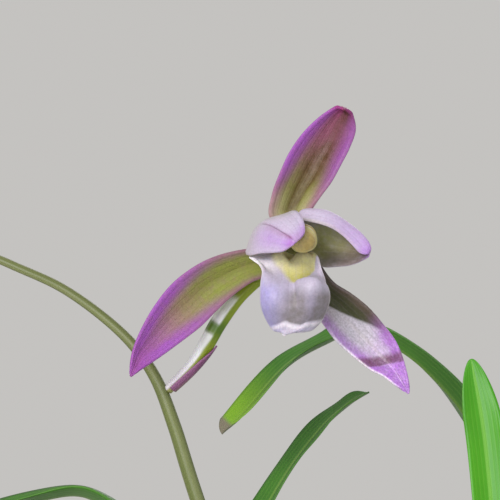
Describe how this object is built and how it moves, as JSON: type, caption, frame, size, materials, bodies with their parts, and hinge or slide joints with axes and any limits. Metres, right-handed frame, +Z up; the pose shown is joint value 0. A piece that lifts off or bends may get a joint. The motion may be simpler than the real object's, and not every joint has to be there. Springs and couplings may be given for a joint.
{
  "type": "potted orchid plant",
  "caption": "Potted sword-leaved orchid: arching leaves from pseudobulbs in a tapered clay pot, with a leaning stem that bears an open lilac flower and buds.",
  "frame": {"origin": "centre of the pot's foot, on the surface that the pot stands on", "axes": "+Z up the pot's axis, +X to the right as the flower is seen, +Y away from that viewer"},
  "size_m": [0.5526, 0.5239, 0.4143],
  "materials": {
    "clay": "unglazed terracotta, matte, faint chalky bloom",
    "bark": "rough dark brown bark and clay grit, matte",
    "bulb": "satin green skin with dry fibrous sheaths",
    "leaf": "leathery satin green blade with fine parallel veins",
    "stem": "olive green stem, satin, clasping sheaths",
    "stalk": "fresh yellow green, satin, faintly ribbed",
    "sepal": "lilac purple margins round an olive yellow centre, satin",
    "petal": "pale lilac white with purple pink near the tip, satin",
    "lip": "white lilac with a pale yellow throat, satin, waxy",
    "column": "yellow tan, satin, waxy",
    "anther": "pale yellow, satin",
    "bract": "purple pink, thin, satin",
    "bud": "yellow green flushed with purple, satin"
  },
  "bodies": {
    "root": {"pot": "clay", "planting_mix": "bark", "pseudobulb_1": "bulb", "leaf_1_1": "leaf", "leaf_1_2": "leaf", "leaf_1_3": "leaf", "pseudobulb_2": "bulb", "leaf_2_1": "leaf", "leaf_2_2": "leaf", "leaf_2_3": "leaf", "pseudobulb_3": "bulb", "leaf_3_1": "leaf", "leaf_3_2": "leaf", "leaf_3_3": "leaf", "pseudobulb_4": "bulb", "leaf_4_1": "leaf", "leaf_4_2": "leaf", "leaf_4_3": "leaf", "pseudobulb_5": "bulb", "leaf_5_1": "leaf", "leaf_5_2": "leaf", "leaf_5_3": "leaf", "leaf_5_4": "leaf", "pseudobulb_6": "bulb", "leaf_6_1": "leaf", "leaf_6_2": "leaf", "leaf_6_3": "leaf", "scape": "stem", "ovary": "stalk", "dorsal_sepal": "sepal", "left_sepal": "sepal", "right_sepal": "sepal", "left_petal": "petal", "right_petal": "petal", "lip": "lip", "column": "column", "anther_cap": "anther", "flower_bract": "bract", "bud_1": "bud", "bud_2": "bud", "bud_3": "bud"}
  },
  "joints": []
}
